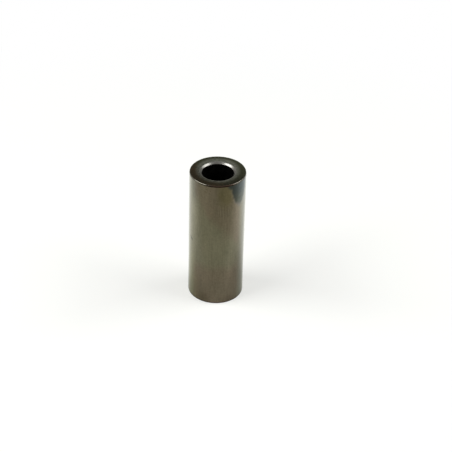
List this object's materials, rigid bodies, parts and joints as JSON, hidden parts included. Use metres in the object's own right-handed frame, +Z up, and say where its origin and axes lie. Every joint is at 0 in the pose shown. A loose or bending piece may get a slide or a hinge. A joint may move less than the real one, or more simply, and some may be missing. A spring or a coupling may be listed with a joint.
{
  "type": "gudgeon pin",
  "caption": "Hollow ground steel gudgeon pin with short lead-ins, rounded edges and a plain through bore with chamfered mouths, which hinges a piston to its connecting rod.",
  "frame": {"origin": "centre of the lower end face, on which the pin stands", "axes": "+Z up along the pin's axis; X and Y are any pair across it, because the pin is round"},
  "size_m": [0.015, 0.015, 0.038],
  "materials": {
    "ground_steel": "dark ground and polished steel with a warm grey cast, faced ends and a black scaled bore"
  },
  "bodies": {
    "root": {"gudgeon_pin": "ground_steel"}
  },
  "joints": []
}
